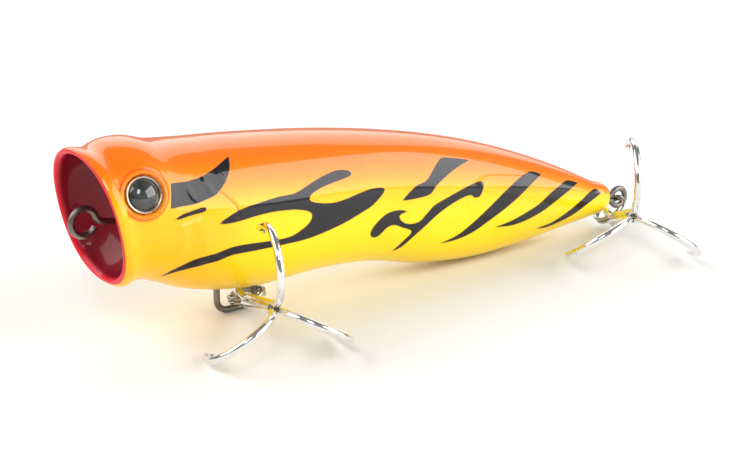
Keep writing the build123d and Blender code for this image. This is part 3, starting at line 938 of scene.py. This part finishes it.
def hook_arm(name, top, angle):
    """One arm: shank from top, round bend, barbed point. The angle turns it about the hook's axis."""
    bpy.ops.object.select_all(action="DESELECT")
    bpy.ops.mesh.primitive_circle_add(
        vertices=24, radius=HOOK_WIRE / 2, fill_type="NGON", location=(SHANK_OFFSET, 0, top),
    )
    arm = bpy.context.object
    arm.name = name
    bpy.ops.object.transform_apply(location=True)
    bpy.ops.object.mode_set(mode="EDIT")
    bpy.ops.mesh.select_all(action="SELECT")
    bpy.ops.mesh.extrude_region_move(TRANSFORM_OT_translate={"value": (0, 0, -HOOK_SHANK - top)})
    bpy.ops.mesh.spin(steps=44, angle=math.radians(180 + POINT_LEAN), center=BEND_CENTRE, axis=(0, 1, 0))
    straight = HOOK_POINT - POINT_TAPER
    for part in (straight - 2 * BARB_STEP, BARB_STEP, BARB_STEP):
        bpy.ops.mesh.extrude_region_move(TRANSFORM_OT_translate={"value": UP_POINT * part})
    bend_end = BEND_CENTRE + Vector((math.cos(point_tilt), 0, math.sin(point_tilt))) * BEND_RADIUS
    neck = bend_end + UP_POINT * straight
    gone, size = 0.0, 1.0
    for reach, share in POINT_STEPS:
        bpy.ops.mesh.extrude_region_move(TRANSFORM_OT_translate={"value": UP_POINT * (reach - gone)})
        bpy.ops.transform.resize(value=(share / size,) * 3, center_override=neck + UP_POINT * reach)
        gone, size = reach, share
    bpy.ops.mesh.select_all(action="SELECT")
    bpy.ops.mesh.normals_make_consistent(inside=False)
    bpy.ops.mesh.select_all(action="DESELECT")
    edit = bmesh.from_edit_mesh(arm.data)
    for face in edit.faces:
        spot = face.calc_center_median() - neck
        inside_face = spot.dot(INWARD) > HOOK_WIRE * 0.441 and abs(spot.y) < 0.2
        face.select = inside_face and -2.3 < spot.dot(UP_POINT) < 0
    bmesh.update_edit_mesh(arm.data)
    raised = INWARD * BARB_RISE - UP_POINT * BARB_BACK
    bpy.ops.mesh.extrude_region_move(TRANSFORM_OT_translate={"value": raised})
    tip = neck + INWARD * (HOOK_WIRE / 2 + BARB_RISE) - UP_POINT * BARB_TIP_BACK
    bpy.ops.transform.resize(value=(BARB_TIP_SHARE,) * 3, center_override=tip)
    bpy.ops.mesh.select_all(action="SELECT")
    bpy.ops.mesh.normals_make_consistent(inside=False)
    bpy.ops.object.mode_set(mode="OBJECT")
    arm.data.transform(Matrix.Rotation(math.radians(angle), 4, "Z"))
    return arm


sample = hook_arm("sample_arm", -HOOK_EYE, 0)
sample_points = coordinates(sample.data)
print("arm spans", np.round(sample_points.min(axis=0), 2), "to", np.round(sample_points.max(axis=0), 2))
bpy.data.objects.remove(sample)

# %% [markdown]
# ## The pair, the single arm and the braze
# The pair's eye is a ring of the same wire, joined to its two shanks with a Boolean union, so that it is one
# closed mesh as the bent wire is. The third arm stops just below the eye. The braze keeps the packed
# model's shape, which is already right, and only takes a finish.

# %% Assemble both trebles
# Each hook's eye in resting millimetres, its shank's azimuth and elevation, and the single arm's roll.
HOOKS = {
    "belly": (Vector((33.05, -3.50, -21.30)), (-108.1, 15.0), 122.0),
    "tail": (Vector((127.70, -4.55, -21.95)), (-121.1, 19.1), 119.5),
}


def direction(azimuth, elevation):
    a, e = math.radians(azimuth), math.radians(elevation)
    return Vector((math.cos(e) * math.cos(a), math.cos(e) * math.sin(a), math.sin(e)))


def hook_place(eye, shank, roll):
    """The hook's own frame at rest: eye at the origin, shank down -Z, single arm over +X."""
    along = -direction(*shank)
    upright = (Vector((0, 0, 1)) - along * along.z).normalized()
    turn = Matrix((upright, along.cross(upright), along)).transposed().to_4x4()
    return REST @ Matrix.Translation(eye) @ turn @ Matrix.Rotation(math.radians(-roll), 4, "Z")


hook_tin = metal("bright_tin", (0.86, 0.86, 0.84), 0.13, 0.86, pitting=0.03)
braze_silver = metal("silver_braze", (0.80, 0.76, 0.66), 0.22, 0.70)
for word, placing in HOOKS.items():
    place = hook_place(*placing)
    bpy.ops.object.select_all(action="DESELECT")
    bpy.ops.mesh.primitive_torus_add(
        major_radius=HOOK_EYE, minor_radius=HOOK_WIRE / 2, major_segments=56, minor_segments=24,
        rotation=(0, math.pi / 2, 0),
    )
    pair = bpy.context.object
    pair.name = f"{word}_hook_bent_pair"
    bpy.ops.object.transform_apply(rotation=True)
    for angle in (120, 240):
        arm = hook_arm("arm_to_join", -HOOK_EYE - 0.15, angle)
        apply_modifier(pair, "BOOLEAN", operation="UNION", solver="EXACT", object=arm)
        bpy.data.objects.remove(arm)
    finish_piece(pair, f"{word}_hook_pair", f"{word}_hook", hook_tin, place, angle=50)
    single = hook_arm(f"{word}_hook_third_arm", -HOOK_EYE - HOOK_WIRE / 2 - 0.5, 0)
    finish_piece(single, f"{word}_hook_single", f"{word}_hook", hook_tin, place, angle=50)

# %% [markdown]
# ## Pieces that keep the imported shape
# The two brazes, the two weights and the three rattle balls are already the right shape, so each packed
# node keeps its mesh and only gets its finish: silver for the brazes, dull lead for the weights and bright
# steel for the balls.

# %% Finishes for the kept nodes
lead = metal("dull_lead", (0.30, 0.31, 0.33), 0.55, 0.60)
ball_steel = metal("polished_ball_steel", (0.70, 0.70, 0.68), 0.14, 0.85)
KEPT = {
    "belly_hook_braze": braze_silver, "tail_hook_braze": braze_silver,
    "belly_ballast": lead, "tail_ballast": lead,
    "rattle_ball_rear": ball_steel, "rattle_ball_middle": ball_steel, "rattle_ball_front": ball_steel,
}
for name, material in KEPT.items():
    for slot in frame["nodes"][name].material_slots:
        slot.material = material
    print(name, "->", material.name)

# %% [markdown]
# ## The table
# A plain white sheet catches the soft warm shadow under the body. Its faint grain keeps it from looking
# like empty space. Far from the lure the light would fall off and leave it grey, so the sheet thins out to
# nothing there, and the white room shows instead.

# %% White sheet
bpy.ops.object.select_all(action="DESELECT")
SHEET_FULL, SHEET_GONE = 0.34, 0.62         # metres from the sheet's middle
SHEET_DROP = 0.00005                        # keeps the sheet just clear of what rests on it
bpy.ops.mesh.primitive_plane_add(
    size=2.2 * SHEET_GONE, location=(CAMERA_TARGET.x, 0, FLOOR_Z - SHEET_DROP),
)
table = bpy.context.object
table.name = "white_table"
bpy.ops.object.transform_apply(location=True)
sheet = Finish("white_sheet", Roughness=0.75, Specular_IOR_Level=0.15)
paper = sheet.noise(700.0, 3.0)
middle = (CAMERA_TARGET.x, 0, FLOOR_Z)
from_middle = sheet.node("VectorMath", {"operation": "DISTANCE"}, {0: sheet.place(), 1: middle}, "Value")
table.data.materials.append(sheet.wear(
    Base_Color=sheet.blend(paper, (0.90, 0.895, 0.88), (0.92, 0.915, 0.905)),
    Normal=sheet.bump(paper, 0.05, 0.00005),
    Alpha=from_middle.step(SHEET_GONE, SHEET_FULL),
))
table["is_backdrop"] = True
print("table at", round(FLOOR_Z / MM, 2), "mm")

# %% [markdown]
# ## Size and finish
# The looks must not change the lure's size, so both boxes are printed: the packed model's near the top, and
# the visual model's in the last line.

low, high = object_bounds()
print("visual model, mm:", [round(v / MM, 1) for v in (*low, *high)])
